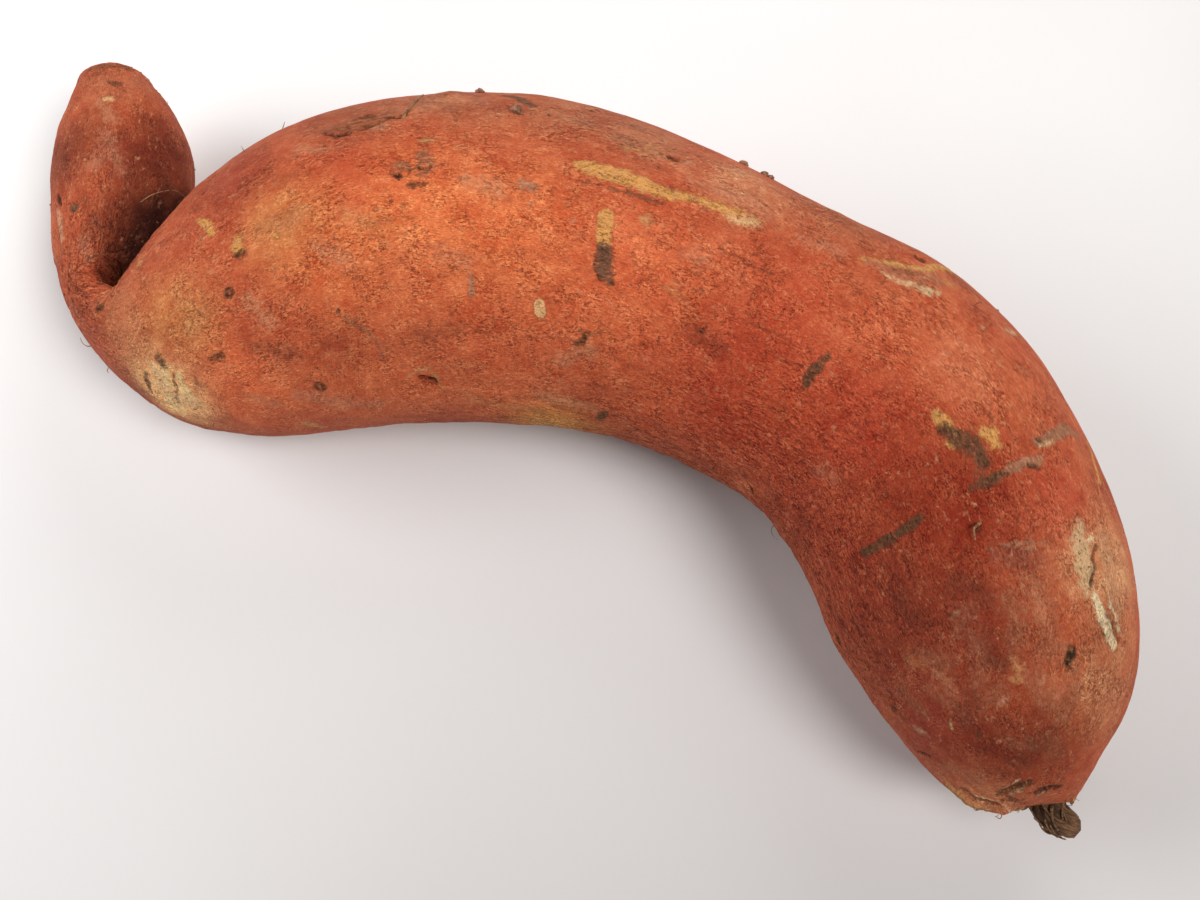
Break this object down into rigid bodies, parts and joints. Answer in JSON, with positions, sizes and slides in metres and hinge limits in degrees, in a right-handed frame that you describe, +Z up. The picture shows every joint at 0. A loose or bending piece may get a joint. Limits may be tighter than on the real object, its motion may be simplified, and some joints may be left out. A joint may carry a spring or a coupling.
{
  "type": "sweet potato",
  "caption": "Fresh sweet potato: a thick rough-skinned root bent like a hook, its thin tail folded back beside the thick end, a dry stalk stub at the other end.",
  "frame": {"origin": "on the surface it lies on, below the middle of its bounding box", "axes": "+X along its longest extent, from the folded tail towards the stalk end's side; +Y towards the outer side of the bend, where the tail points; +Z up from the surface it lies on"},
  "size_m": [0.2012, 0.1526, 0.0602],
  "materials": {
    "skin": "matt orange-red skin with tan scars, dark scabs and dry soil",
    "dry_stalk": "rough dry brown fibre"
  },
  "bodies": {
    "root": {"storage_root": "skin", "stalk_stub": "dry_stalk"}
  },
  "joints": []
}
